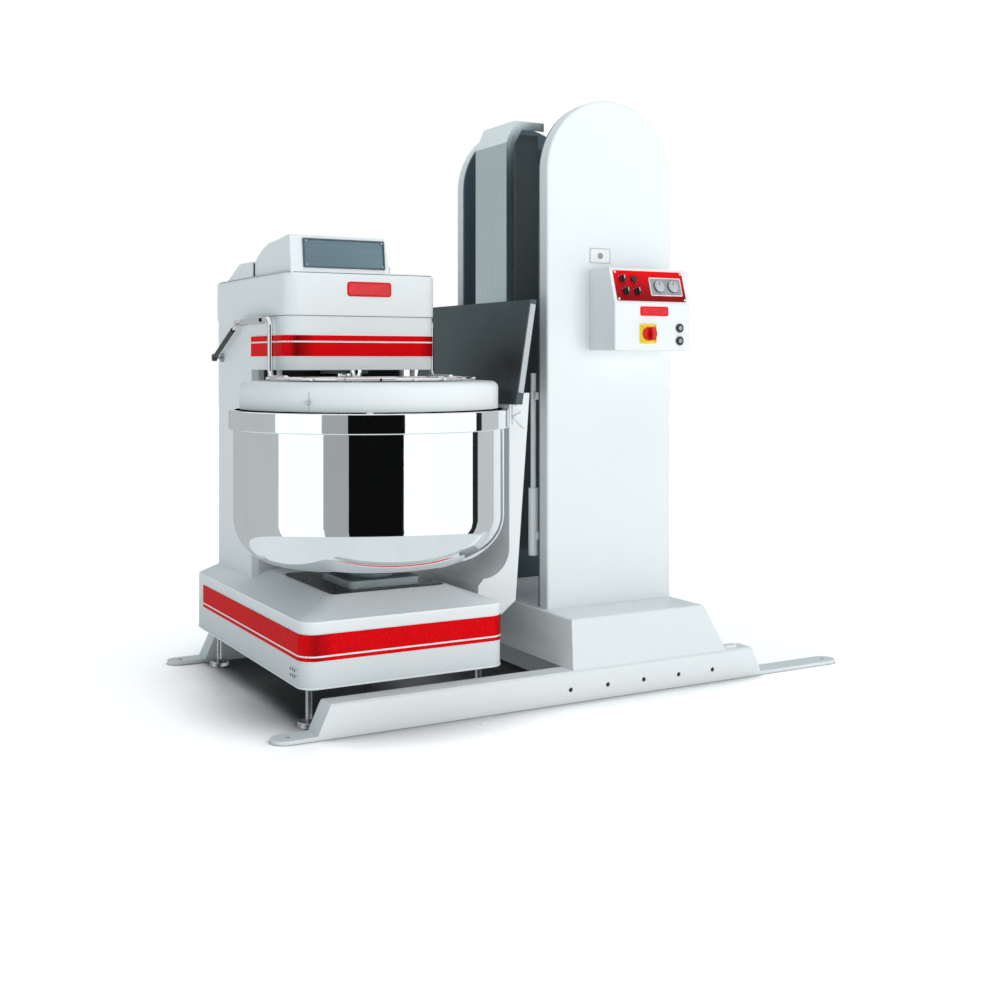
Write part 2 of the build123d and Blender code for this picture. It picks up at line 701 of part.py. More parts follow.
def rear_panel():
    """Screwed cover over the body column's service opening."""
    cover = block((-872, -358), (BASE_Y[1], BASE_Y[1] + 3), (388, 1232))
    for row in range(8):
        cover -= block((-700, -530), (BASE_Y[1] - 1, BASE_Y[1] + 4), (480 + row * 22, 488 + row * 22))
    return cover


def head_band():
    return band(BODY_X, (HEAD_Y, BASE_Y[1]), (1108, 1175), HEAD_CORNER, BODY_Y)


def hood_solid(margin):
    """Hood: a low shoulder, a hump on the left at the front, and a stepped fall to the back."""
    x = inset(BODY_X, margin - 3)
    low = HEAD_Z[1] - (1 if margin else 14)
    shoulder, rear_y = 1382 - margin, BASE_Y[1] + 5 - margin
    front = HEAD_Y - 3 + margin
    block_low = casing(x, (front, rear_y), (low, shoulder), HEAD_CORNER - margin)
    if not margin:
        block_low = fillet(block_low.edges().group_by(Axis.Z)[-1], 16)
    hump_side = make_face([
        Polyline(
            (250, shoulder - 40), (front + 8, shoulder - 40), (front + 8, 1378),
            (front + 22, 1499 - margin), (20, 1487 - margin),
        ),
        ThreePointArc((20, 1487 - margin), (150, 1466 - margin), (250, 1412 - margin)),
        Line((250, 1412 - margin), (250, shoulder - 40)),
    ])
    hump = side_profile(hump_side, (-864 + margin, -500 - margin))
    lean = polygon(
        (-870, 1300), (-519 - margin, 1300), (-519 - margin, 1376), (-536 - margin, 1520), (-870, 1520)
    )
    hump &= front_profile(lean, (-300, 400))
    if not margin:
        ends = hump.edges().filter_by(Axis.X).sort_by(Axis.Z)[-1:]
        hump = fillet(ends, 7)
    rear_side = polygon(
        (225, shoulder - 40), (225, 1432 - margin), (365, 1432 - margin), (500, 1380 - margin),
        (rear_y, 1378 - margin), (rear_y, shoulder - 40),
    )
    rear = side_profile(rear_side, inset(x, 10)) & casing(x, (front, rear_y), (1200, 1500), 30)
    return block_low + hump + rear


def head_hood():
    hood = hood_solid(0) - hood_solid(SHEET + 1)
    return hood - casing(BODY_X, (HEAD_Y, BASE_Y[1]), (HEAD_Z[1] - 20, HEAD_Z[1]), HEAD_CORNER)


HOOD_TILT = math.degrees(math.atan2(14, 121))


def hood_plate():
    """Blanking plate on the front of the hump."""
    face = Plane(
        origin=(-679, HEAD_Y + 11.6, 1436), x_dir=(1, 0, 0),
        z_dir=(0, -math.cos(math.radians(HOOD_TILT)), math.sin(math.radians(HOOD_TILT))),
    )
    plate = panel(face, (0, 4), (284, 96), 0, 3, 3)
    for x in (-134, 134):
        for y in (-37, 45):
            plate += disc(face, (x, y), 3, 5, 4.5)
    return plate


def head_badge():
    face = Plane(origin=(-596, HEAD_Y - 3, 1327), x_dir=(1, 0, 0), z_dir=(0, -1, 0))
    return panel(face, (0, 0), (156, 48), 0, 2, 10)


# ================================================================== drives
def pulley(centre, z, radius, bore):
    """Flat-rimmed belt wheel with flanges above and below the belt."""
    wheel = upright(centre, z, radius)
    for edge in ((z[0], z[0] + 5), (z[1] - 5, z[1])):
        wheel += upright(centre, edge, radius + BELT + 3)
    return wheel - upright(centre, (z[0] - 1, z[1] + 1), bore)


def belt(first, first_r, second, second_r, z):
    """Band around two pulleys whose centres lie on one line along Y."""
    span = second[1] - first[1]
    lean = math.asin((first_r - second_r) / span)

    def loop(offset):
        points = []
        for sign in (1, -1):
            for centre, radius in ((first, first_r + offset), (second, second_r + offset)):
                points.append((
                    centre[0] + sign * radius * math.cos(lean), centre[1] + radius * math.sin(lean)
                ))
        ends = [Pos(*c) * Circle(r + offset) for c, r in ((first, first_r), (second, second_r))]
        return polygon(points[0], points[1], points[3], points[2]) + ends

    ring = loop(BELT) - loop(GAP)
    return extrude(Pos(0, 0, z[0] + 7) * ring, z[1] - z[0] - 14)


def drive_belts():
    return group([
        belt(BOWL, BOWL_PULLEY_R, BOWL_MOTOR, MOTOR_PULLEY_R, PULLEY_Z),
        belt(SPIRAL, SPIRAL_PULLEY_R, SPIRAL_MOTOR, MOTOR_PULLEY_R, SPIRAL_PULLEY_Z),
    ])


def motor(centre, z, radius):
    """Upright motor: finned body, terminal box and flange at the shaft end z[1] or z[0]."""
    body = upright(centre, z, radius)
    for i in range(12):
        fin = Rot(0, 0, 30 * i) * block((radius - 2, radius + 8), (-2, 2), inset(z, 40))
        body += Pos(*centre, 0) * fin
    return body + block((centre[0] + radius - 8, centre[0] + radius + 40),
                        (centre[1] - 35, centre[1] + 35), (z[0] + 90, z[0] + 170))


def drive_motors():
    under = BASE_Z[2] - WALL
    bowl = motor(BOWL_MOTOR, (under, under + 270), 78)
    bowl += slab((-735, -495), (292, 520), (under - 13, under), 12)
    bowl -= upright(BOWL_MOTOR, (320, 420), MOTOR_SHAFT_R + RUNNING)
    spiral = motor(SPIRAL_MOTOR, (880, 1226), 80)
    spiral += upright(SPIRAL_MOTOR, (1226, 1240), 105)
    spiral -= upright(SPIRAL_MOTOR, (1140, 1250), MOTOR_SHAFT_R + RUNNING)
    return group([bowl, spiral])


def motor_pulley(centre, z, shaft):
    return pulley(centre, z, MOTOR_PULLEY_R, MOTOR_SHAFT_R) + upright(centre, shaft, MOTOR_SHAFT_R)


def shaft_bearings():
    """Bowl spindle bearing on the base's plateau, and spiral bearing in the head's floor."""
    x, y = BOWL
    low = upright(BOWL, (290, 422), 74)
    low += slab((x - 120, x + 120), (y - 120, y + 120), (BASE_Z[2], BASE_Z[2] + 28), 14)
    low -= upright(BOWL, (280, 440), SPINDLE_R + RUNNING)
    floor = HEAD_Z[0] + WALL
    high = upright(SPIRAL, (1050, 1200), 80) + upright(SPIRAL, (floor, floor + 14), 110)
    high -= upright(SPIRAL, (1040, 1210), SPINDLE_R + RUNNING)
    return group([low, high])


def bowl():
    """Open stainless bowl, with a rolled rim band and a wide corner into a flat floor."""
    x, y = BOWL

    def profile(margin):
        outer = BOWL_R - margin
        corner = BOWL_CORNER - margin
        bottom = BOWL_BOTTOM + margin
        top = BOWL_RIM_Z[1] + (1 if margin else 0)
        return make_face([
            Line((0, bottom), (outer - corner, bottom)),
            RadiusArc((outer - corner, bottom), (outer, bottom + corner), -corner),
            Polyline((outer, bottom + corner), (outer, top), (0, top), (0, bottom)),
        ])

    turn = Plane(origin=(x, y, 0), x_dir=(1, 0, 0), z_dir=(0, -1, 0))
    axis = Axis((x, y, 0), (0, 0, 1))
    rim = upright(BOWL, BOWL_RIM_Z, BOWL_RIM_R)
    rim = fillet(rim.edges(), 4)
    outer = revolve(turn * profile(0), axis) + rim
    inner = revolve(turn * profile(BOWL_WALL), axis)
    ring = upright(BOWL, (BOWL_RIM_Z[0] + BOWL_WALL, BOWL_RIM_Z[1] - 8), BOWL_RIM_R - BOWL_WALL)
    ring -= upright(BOWL, (BOWL_RIM_Z[0] - 9, BOWL_RIM_Z[1] + 9), BOWL_R)
    return outer - inner - ring


def bowl_spindle():
    """Spindle, flange under the bowl and the large belt pulley."""
    spindle = upright(BOWL, (PULLEY_Z[0] - 8, BOWL_BOTTOM), SPINDLE_R)
    spindle += upright(BOWL, (434, BOWL_BOTTOM), 150)
    return spindle + pulley(BOWL, PULLEY_Z, BOWL_PULLEY_R, SPINDLE_R - 1)


def spiral_hook():
    """Spiral bar on its shaft: a helix, with a level arm above and a rising arm at its foot."""
    low, high = SPIRAL_Z
    helix = Helix(pitch=SPIRAL_PITCH, height=high - low, radius=SPIRAL_R)
    hook = sweep(Plane(origin=helix @ 0, z_dir=helix % 0) * Circle(SPIRAL_BAR), path=helix)
    for knee, axis_z in ((helix @ 0, SPIRAL_FOOT - low), (helix @ 1, high - low)):
        arm = rod((0, 0, axis_z), tuple(knee), SPIRAL_BAR) + Pos(knee) * Sphere(SPIRAL_BAR)
        hook += arm + Pos(0, 0, axis_z) * Sphere(SPIRAL_BAR)
    shaft = upright(SPIRAL, (high - 24, SPIRAL_PULLEY_Z[1] + 10), SPINDLE_R)
    return Pos(*SPIRAL, low) * hook + shaft


def spiral_pulley():
    return pulley(SPIRAL, SPIRAL_PULLEY_Z, SPIRAL_PULLEY_R, SPINDLE_R + SEATED)


def breaker_bar():
    """Fixed bar at the bowl's centre that splits the dough, flanged to the head's floor."""
    x, y = BOWL
    top_y = HEAD_Y + 62
    bar = bent_bar(
        [(x, y, 478), (x, y, 925), (x, top_y, 1000), (x, top_y, HEAD_Z[0])], BREAKER_R, 45
    )
    return bar + upright((x, top_y), (HEAD_Z[0] - 10, HEAD_Z[0]), 24)


# ============================================================== bowl guard
def guard_shell():
    """Whole guard ring: an upright wall with a rounded top edge and a level inner ledge."""
    outer = fillet(upright(BOWL, GUARD_Z, GUARD_R).edges().group_by(Axis.Z)[-1], 22)
    inner = upright(BOWL, (GUARD_Z[0] - 1, GUARD_Z[1] - 4), GUARD_R - 4)
    inner = fillet(inner.edges().group_by(Axis.Z)[-1], 18)
    return outer - inner - upright(BOWL, (900, 1100), GUARD_LEDGE_R)


def guard_ring():
    x = BOWL[0]
    under_head = block((x - GUARD_WING_X, x + GUARD_WING_X), (GUARD_CUT[0], 999), (900, 1100))
    behind = block((-1200, 0), (GUARD_CUT[1], 999), (900, 1100))
    return guard_shell() - under_head - behind


def rear_guard():
    """Fixed back part of the guard, hung from the head's floor on short posts."""
    ring = guard_shell() & block((-1200, 0), (GUARD_CUT[1] + 6, 999), (900, 1100))
    for x in (-240, 240):
        for y in (0.0, 90.0):
            ring += upright((BOWL[0] + x, y), (GUARD_Z[1] - 3, HEAD_Z[0]), 9)
    return ring


def guard_grid():
    """Bars of the chrome grid over the front of the bowl: a cross rod, hoops and spokes."""
    x, y = BOWL
    z = GUARD_Z[1] + 8
    start_y = GUARD_CUT[0] - 8
    bars = [rod((x - 340, start_y, z), (x + 340, start_y, z), 6), rod((x, y, z), (x, start_y, z), 4)]
    for radius in (330.0, 220.0, 110.0):
        past = math.degrees(math.asin((start_y - y) / radius))
        hoop = CenterArc((x, y, z), radius, 180 - past, 180 + 2 * past)
        bars.append(sweep(Plane(origin=hoop @ 0, z_dir=hoop % 0) * Circle(5), path=hoop))
    for i in range(1, 10):
        angle = math.radians(180 + 18 * i)
        tip = (x + 345 * math.cos(angle), y + 345 * math.sin(angle), z)
        bars.append(rod((x, y, z), tip, 4))
    return bars


def guard_bars():
    """Grid with the side arms, clamps and hinge rod that lift it, and the strut's tab."""
    hinge_y, hinge_z = GUARD_HINGE
    elbow_y, top_z = -50.0, 1229.0
    rear_z = top_z - 5
    bars = [along_x(hinge_y, hinge_z, inset(BODY_X, -GUARD_ARM_X), HINGE_R)]
    for side, edge in ((-1, BODY_X[0]), (1, BODY_X[1])):
        x = edge + side * GUARD_ARM_X
        corners = [(x, 215, rear_z), (x, elbow_y, top_z), (x, elbow_y, ARM_FOOT_Z), (x, -200, ARM_FOOT_Z)]
        bars += [bent_bar(corners, 9, 26), rod((x, 25, top_z - 2), (x, 232, rear_z), 14)]
        bars.append(along_x(hinge_y, hinge_z, sorted((edge + side * GAP, x)), 13))
    tab_x = (BODY_X[0] - STRUT_OFFSET + 16, BODY_X[0] - 9)
    tab_end = STRUT_HEAD[0] + 10
    tab = polygon((205, 1214), (205, 1234), (tab_end, 1230), (tab_end, 1212))
    bars += [side_profile(tab, tab_x), along_x(*STRUT_HEAD, (STRUT_X + 8, tab_x[1]), 6)]
    return Part() + bars + guard_grid()


# ============================================================== gas strut
STRUT_X = BODY_X[0] - STRUT_OFFSET
STRUT_RUN = (STRUT_HEAD[0] - STRUT_FOOT[0], STRUT_HEAD[1] - STRUT_FOOT[1])
STRUT_LENGTH = math.hypot(*STRUT_RUN)


def strut_point(distance, x=STRUT_X):
    """Point on the strut's line, a distance up from its foot pivot."""
    share = distance / STRUT_LENGTH
    return x, STRUT_FOOT[0] + STRUT_RUN[0] * share, STRUT_FOOT[1] + STRUT_RUN[1] * share


def strut_tube():
    """Gas cylinder on an eye that turns on the body's lower ball stud."""
    tube = rod(strut_point(12), strut_point(238), 8.5)
    eye = along_x(*STRUT_FOOT, (STRUT_X - 7, STRUT_X + 7), 13)
    bore = rod(strut_point(70), strut_point(250), 5 + RUNNING)
    pin = along_x(*STRUT_FOOT, (STRUT_X - 9, STRUT_X + 9), 6 + RUNNING)
    return tube + eye - bore - pin


def strut_rod():
    """Piston rod with the upper eye, which lies against the guard arm's end."""
    bar = rod(strut_point(116), strut_point(STRUT_LENGTH), 5)
    eye = along_x(*STRUT_HEAD, (STRUT_X - 7, STRUT_X + 7), 12)
    return bar + eye


def strut_stud():
    """Ball stud that holds the strut's foot, on a round pad on the body's left side."""
    stud = along_x(*STRUT_FOOT, (STRUT_X - 10, BODY_X[0]), 6)
    return stud + along_x(*STRUT_FOOT, (BODY_X[0] - 8, BODY_X[0]), 16)


NODES = {
    "front_rail": rail(FRONT_RAIL_Y),
    "rear_rail": rail(REAR_RAIL_Y),
    "cross_beams": cross_beams(),
    "plinth": plinth(),
    "front_column_cover": column_cover(FRONT_COLUMN_Y, 1),
    "rear_column_cover": column_cover(REAR_COLUMN_Y, -1),
    "front_column_plate": column_plate(FRONT_COLUMN_Y, 1),
    "rear_column_plate": column_plate(REAR_COLUMN_Y, -1),
    "tip_bearings": tip_bearings(),
    "tip_gearmotor": tip_gearmotor(),
    "drive_chain": drive_chain(),
    "drive_sprocket": drive_sprocket(),
    "driven_sprocket": sprocket(AXIS_Z, DRIVEN_TEETH, AXIS_R + SEATED),
    "tip_shaft": tip_shaft(),
    "control_box": control_box(),
    "control_fascia": control_fascia(),
    "switch_plate": switch_plate(),
    "main_switch_knob": main_switch_knob(),
    "start_button": push_button(PUSH_BUTTONS[0]),
    "stop_button": push_button(PUSH_BUTTONS[1]),
    "button_bezels": button_bezels(),
    "panel_button": panel_button(),
    "info_plates": info_plates(),
    "cable_conduit": cable_conduit(),
    "cable_gland": cable_gland(),
    "swing_arm": swing_arm(),
    "arm_cover": arm_cover(),
    "tipping_frame": tipping_frame(),
    "chute": chute(),
    "chute_bracket": chute_bracket(),
    "mixer_base": mixer_base(),
    "base_band": base_band(),
    "levelling_feet": levelling_feet(),
    "machine_body": machine_body(),
    "rear_panel": rear_panel(),
    "head_band": head_band(),
    "head_hood": head_hood(),
    "hood_plate": hood_plate(),
    "head_badge": head_badge(),
    "drive_motors": drive_motors(),
    "drive_belts": drive_belts(),
    "shaft_bearings": shaft_bearings(),
    "bowl": bowl(),
    "bowl_spindle": bowl_spindle(),
    "bowl_motor_pulley": motor_pulley(BOWL_MOTOR, PULLEY_Z, (PULLEY_Z[0], 400)),
    "spiral_hook": spiral_hook(),
    "spiral_pulley": spiral_pulley(),
    "spiral_motor_pulley": motor_pulley(SPIRAL_MOTOR, SPIRAL_PULLEY_Z, (1160, SPIRAL_PULLEY_Z[1])),
    "breaker_bar": breaker_bar(),
    "rear_guard": rear_guard(),
    "guard_ring": guard_ring(),
    "guard_bars": guard_bars(),
    "strut_stud": strut_stud(),
    "strut_tube": strut_tube(),
    "strut_rod": strut_rod(),
}
for number, at in enumerate(SELECTORS, 1):
    NODES[f"selector_knob_{number}"] = selector_knob(at)
for number, at in enumerate(TIMERS, 1):
    NODES[f"timer_dial_{number}"] = timer_dial(at)

os.makedirs("parts", exist_ok=True)
for name, shape in NODES.items():
    export_step(shape, f"parts/{name}.step")
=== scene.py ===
import json
import math

import bmesh
import bpy
from mathutils import Matrix, Vector


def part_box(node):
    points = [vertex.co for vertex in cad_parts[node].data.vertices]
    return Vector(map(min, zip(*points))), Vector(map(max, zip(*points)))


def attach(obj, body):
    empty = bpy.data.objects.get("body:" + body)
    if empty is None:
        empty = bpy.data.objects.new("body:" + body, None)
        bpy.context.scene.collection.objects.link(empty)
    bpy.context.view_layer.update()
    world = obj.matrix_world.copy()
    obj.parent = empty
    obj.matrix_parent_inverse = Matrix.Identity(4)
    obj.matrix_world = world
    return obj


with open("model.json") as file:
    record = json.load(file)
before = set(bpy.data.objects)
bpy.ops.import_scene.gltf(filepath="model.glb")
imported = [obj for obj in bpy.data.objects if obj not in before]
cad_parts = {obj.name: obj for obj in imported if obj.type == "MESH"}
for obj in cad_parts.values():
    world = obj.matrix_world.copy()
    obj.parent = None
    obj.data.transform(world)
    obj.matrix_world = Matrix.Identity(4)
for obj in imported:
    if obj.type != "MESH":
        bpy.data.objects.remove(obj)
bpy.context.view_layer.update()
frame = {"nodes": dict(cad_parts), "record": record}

# ------------------------------------------------------------------ camera and stage
CAMERA_PLACE = (-2.298, -4.081, 1.090)
CAMERA_AZIMUTH = -29.09          # degrees; the camera is level
LENS = 46.83
SHIFT = -0.1383


def make_camera():
    data = bpy.data.cameras.new("camera")
    data.lens, data.sensor_width, data.shift_y = LENS, 36.0, SHIFT
    camera = bpy.data.objects.new("camera", data)
    camera.location = CAMERA_PLACE
    camera.rotation_euler = (math.radians(90), 0, math.radians(CAMERA_AZIMUTH))
    bpy.context.scene.collection.objects.link(camera)
    bpy.context.scene.camera = camera


def area_light(name, place, target, size, power, colour=(1, 1, 1)):
    data = bpy.data.lights.new(name, "AREA")
    data.shape, data.size, data.energy, data.color = "SQUARE", size, power, colour
    light = bpy.data.objects.new(name, data)
    light.location = place
    light.rotation_euler = (Vector(target) - Vector(place)).to_track_quat("-Z", "Y").to_euler()
    light.visible_glossy = False
    bpy.context.scene.collection.objects.link(light)


# Studio cards seen by polished metal: azimuth in degrees from -Y towards +X, and brightness up to it.
CARDS = (
    (-105, 0.50), (-63, 1.15), (-42, 0.38), (4, 0.004), (71.5, 1.15), (78, 0.02),
    (113, 0.55), (130, 0.05), (180, 0.45),
)
FLOOR_EDGE = -0.39              # sine of the elevation where the cards meet the floor
SKY_EDGE = 0.42                 # sine of the elevation where the cards meet the ceiling
FLOOR_GLOSS = (0.70, 0.77, 0.78)
FLOOR_GLOW = (0.42, 0.85)       # the floor's own light, near the machine and far from it
FLOOR_FADE = (1.0, 3.4)         # distances from the middle between which that light grows
FLOOR_RADIUS = 30.0
SHADOW_REACH = 0.55             # how far from the floor a surface still darkens it
SHADOW_RANGE = (0.40, 0.86)     # openness where the floor is darkest, and where it is clear
SHADOW_TONE = (0.015, 0.02, 0.02, 1)
SKY_GLOSS = 0.95
ROOM_LIGHT = (0.335, 0.408, 0.43)


def make_world():
    """Even pale light for the object, plain white behind it, and card reflections in its metal."""
    world = bpy.data.worlds.new("studio")
    bpy.context.scene.world = world
    world.use_nodes = True
    tree = world.node_tree
    tree.nodes.clear()
    node, link = tree.nodes.new, tree.links.new

    place = node("ShaderNodeTexCoord")
    parts = node("ShaderNodeSeparateXYZ")
    link(place.outputs["Generated"], parts.inputs[0])

    def calculate(kind, first, second=None):
        step = node("ShaderNodeMath")
        step.operation = kind
        for socket, value in zip(step.inputs, (first, second)):
            if isinstance(value, (int, float)):
                socket.default_value = value
            elif value is not None:
                link(value, socket)
        return step.outputs[0]

    azimuth = calculate("ARCTAN2", parts.outputs["X"], calculate("MULTIPLY", parts.outputs["Y"], -1.0))
    share = calculate("MULTIPLY_ADD", azimuth, 1 / (2 * math.pi))
    share.node.inputs[2].default_value = 0.5
    cards = node("ShaderNodeValToRGB")
    cards.color_ramp.interpolation = "CONSTANT"
    link(share, cards.inputs[0])
    ramp = cards.color_ramp.elements
    start = -180
    for index, (end, level) in enumerate(CARDS):
        position = (start + 180) / 360
        stop = ramp[index] if index < 2 else ramp.new(position)
        stop.position = position
        stop.color = (0.94 * level, level, 1.01 * level, 1)
        start = end

    def mix(factor, first, second):
        blend = node("ShaderNodeMix")
        blend.data_type = "RGBA"
        link(factor, blend.inputs["Factor"])
        for socket, value in ((blend.inputs[6], first), (blend.inputs[7], second)):
            if isinstance(value, tuple):
                socket.default_value = (*value, 1)
            else:
                link(value, socket)
        return blend.outputs[2]

    height = parts.outputs["Z"]
    low = calculate("LESS_THAN", height, FLOOR_EDGE)
    high = calculate("GREATER_THAN", height, SKY_EDGE)
    gloss = mix(low, cards.outputs[0], FLOOR_GLOSS)
    gloss = mix(high, gloss, (SKY_GLOSS,) * 3)
    path = node("ShaderNodeLightPath")
    colour = mix(path.outputs["Is Glossy Ray"], ROOM_LIGHT, gloss)
    colour = mix(path.outputs["Is Camera Ray"], colour, (1.0, 1.0, 1.0))
    background = node("ShaderNodeBackground")
    link(colour, background.inputs["Color"])
    output = node("ShaderNodeOutputWorld")
    link(background.outputs[0], output.inputs["Surface"])


def make_floor():
    """Pale floor that grows into the white background away from the machine, with a painted shadow that
    darkens it where other surfaces stand close above it.
    """
    mesh = bpy.data.meshes.new("floor")
    bm = bmesh.new()
    bmesh.ops.create_circle(bm, cap_ends=True, radius=FLOOR_RADIUS, segments=96)
    bm.to_mesh(mesh)
    bm.free()
    floor = bpy.data.objects.new("floor", mesh)
    floor.location.z = -0.0005
    floor.visible_glossy = False
    bpy.context.scene.collection.objects.link(floor)
    material, node, link, shader = shader_tree("floor")
    place = node("ShaderNodeTexCoord")
    length = node("ShaderNodeVectorMath")
    length.operation = "LENGTH"
    link(place.outputs["Object"], length.inputs[0])
    reach = node("ShaderNodeMapRange")
    reach.inputs["From Min"].default_value = FLOOR_FADE[0]
    reach.inputs["From Max"].default_value = FLOOR_FADE[1]
    reach.inputs["To Min"].default_value = FLOOR_GLOW[0]
    reach.inputs["To Max"].default_value = FLOOR_GLOW[1]
    link(length.outputs["Value"], reach.inputs["Value"])
    shade = node("ShaderNodeAmbientOcclusion")
    shade.samples = 24
    shade.inputs["Distance"].default_value = SHADOW_REACH
    open_floor = ramp(node, link, shade.outputs["AO"], 0.0, 1.0, *SHADOW_RANGE)
    glow = node("ShaderNodeMath")
    glow.operation = "MULTIPLY"
    link(reach.outputs[0], glow.inputs[0])
    link(open_floor, glow.inputs[1])
    link(glow.outputs[0], shader.inputs["Emission Strength"])
    tone = node("ShaderNodeMix")
    tone.data_type = "RGBA"
    link(open_floor, tone.inputs["Factor"])
    tone.inputs[6].default_value = SHADOW_TONE
    link(ramp(node, link, noise(node, link, 1.5, 4), 0.88, 0.90), tone.inputs[7])
    link(tone.outputs[2], shader.inputs["Base Color"])
    link(ramp(node, link, noise(node, link, 3.0, 3), 0.22, 0.30), shader.inputs["Roughness"])
    shader.inputs["Specular IOR Level"].default_value = 0.2
    shader.inputs["Emission Color"].default_value = (1, 1, 1, 1)
    mesh.materials.append(material)


# ------------------------------------------------------------------ materials
SHEET_BEND = 0.0014             # radius of a folded sheet's edge


def shader_tree(name):
    """New material; returns it with its node maker, link maker and principled shader."""
    material = bpy.data.materials.new(name)
    material.use_nodes = True
    tree = material.node_tree
    return material, tree.nodes.new, tree.links.new, tree.nodes["Principled BSDF"]


def noise(node, link, scale, detail=3.0, stretch=(1, 1, 1)):
    """Noise in object space, with its grain stretched along an axis."""
    place = node("ShaderNodeTexCoord")
    mapping = node("ShaderNodeMapping")
    mapping.inputs["Scale"].default_value = stretch
    link(place.outputs["Object"], mapping.inputs["Vector"])
    texture = node("ShaderNodeTexNoise")
    texture.inputs["Scale"].default_value = scale
    texture.inputs["Detail"].default_value = detail
    link(mapping.outputs[0], texture.inputs["Vector"])
    return texture.outputs["Fac"]


def ramp(node, link, value, low, high, start=0.35, end=0.65):
    """Colour or grey ramp between two values; numbers become greys."""
    blend = node("ShaderNodeValToRGB")
    for stop, position, colour in zip(blend.color_ramp.elements, (start, end), (low, high)):
        stop.position = position
        stop.color = (*colour, 1) if isinstance(colour, tuple) else (colour, colour, colour, 1)
    link(value, blend.inputs[0])
    return blend.outputs["Color"]


def rounded_normal(node, link, radius):
    """Normals rounded over at folded edges, as a sheet's bend catches the light."""
    edge = node("ShaderNodeBevel")
    edge.samples = 4
    edge.inputs["Radius"].default_value = radius
    return edge.outputs[0]


def bump(node, link, shader, height, strength, distance, edge=0.0):
    relief = node("ShaderNodeBump")
    relief.inputs["Strength"].default_value = strength
    relief.inputs["Distance"].default_value = distance
    link(height, relief.inputs["Height"])
    if edge:
        link(rounded_normal(node, link, edge), relief.inputs["Normal"])
    link(relief.outputs[0], shader.inputs["Normal"])


def enamel(name, pale, deep, rough=(0.30, 0.33), coat=0.05, gloss=0.22, edge=SHEET_BEND):
    """Stoved enamel: faint orange peel, slow tone drift and rounded sheet edges."""
    material, node, link, shader = shader_tree(name)
    link(ramp(node, link, noise(node, link, 1.6, 2), deep, pale, 0.3, 0.7), shader.inputs["Base Color"])
    link(ramp(node, link, noise(node, link, 5, 2), *rough, 0.3, 0.7), shader.inputs["Roughness"])
    bump(node, link, shader, noise(node, link, 520, 2), 0.03, 0.0004, edge)
    shader.inputs["Specular IOR Level"].default_value = gloss
    shader.inputs["Coat Weight"].default_value = coat
    shader.inputs["Coat Roughness"].default_value = 0.12
    return material


def shaded_enamel(name, axis, stops, mottle=0.97, grain=6, gloss=0.12):
    """Enamel whose tone runs through stops (place along an axis, colour); the stops carry painted shade and
    painted highlights, except on the info plates, where they are a plain change from red to grey.
    """
    material, node, link, shader = shader_tree(name)
    place = node("ShaderNodeTexCoord")
    parts = node("ShaderNodeSeparateXYZ")
    link(place.outputs["Object"], parts.inputs[0])
    low, high = stops[0][0], stops[-1][0]
    reach = node("ShaderNodeMapRange")
    reach.inputs["From Min"].default_value = low
    reach.inputs["From Max"].default_value = high
    link(parts.outputs[axis], reach.inputs["Value"])
    tone = node("ShaderNodeValToRGB")
    elements = tone.color_ramp.elements
    elements[0].color = (*stops[0][1], 1)
    elements[1].color = (*stops[-1][1], 1)
    for at, colour in stops[1:-1]:
        elements.new((at - low) / (high - low)).color = (*colour, 1)
    link(reach.outputs[0], tone.inputs[0])
    drift = node("ShaderNodeMix")
    drift.data_type, drift.blend_type = "RGBA", "MULTIPLY"
    drift.inputs["Factor"].default_value = 1.0
    link(tone.outputs["Color"], drift.inputs[6])
    link(ramp(node, link, noise(node, link, grain, 2), mottle, 1.0, 0.2, 0.8), drift.inputs[7])
    link(drift.outputs[2], shader.inputs["Base Color"])
    link(ramp(node, link, noise(node, link, 12, 3), 0.36, 0.40, 0.2, 0.8), shader.inputs["Roughness"])
    bump(node, link, shader, noise(node, link, 500, 2), 0.04, 0.0004, SHEET_BEND)
    shader.inputs["Specular IOR Level"].default_value = gloss
    return material


def steel(name, pale, deep, grain, rough=(0.22, 0.34), strength=0.12, scale=90):
    """Bare metal with a drawn grain; grain gives the stretch of the brushing on each axis."""
    material, node, link, shader = shader_tree(name)
    lines = noise(node, link, scale, 4, grain)
    cloud = noise(node, link, 3.0, 4)
    tone = node("ShaderNodeMix")
    tone.data_type = "RGBA"
    tone.inputs["Factor"].default_value = 0.45
    link(ramp(node, link, lines, deep, pale), tone.inputs[6])
    link(ramp(node, link, cloud, deep, pale), tone.inputs[7])
    link(tone.outputs[2], shader.inputs["Base Color"])
    link(ramp(node, link, lines, *rough), shader.inputs["Roughness"])
    bump(node, link, shader, lines, strength, 0.0004)
    shader.inputs["Metallic"].default_value = 1.0
    return material


def mirror(name, tint, rough=(0.02, 0.05)):
    """Mirror-polished steel with faint polishing haze."""
    material, node, link, shader = shader_tree(name)
    haze = noise(node, link, 9, 6, (1, 1, 0.3))
    link(ramp(node, link, haze, tint, tuple(min(1, c * 1.05) for c in tint)), shader.inputs["Base Color"])
    link(ramp(node, link, haze, *rough), shader.inputs["Roughness"])
    shader.inputs["Metallic"].default_value = 1.0
    return material


def plastic(name, pale, deep, rough=(0.3, 0.45), grain=900, strength=0.08):
    """Moulded plastic with a fine spark-eroded grain."""
    material, node, link, shader = shader_tree(name)
    link(ramp(node, link, noise(node, link, 30, 3), deep, pale), shader.inputs["Base Color"])
    link(ramp(node, link, noise(node, link, 60, 3), *rough), shader.inputs["Roughness"])
    bump(node, link, shader, noise(node, link, grain, 2), strength, 0.0003)
    return material


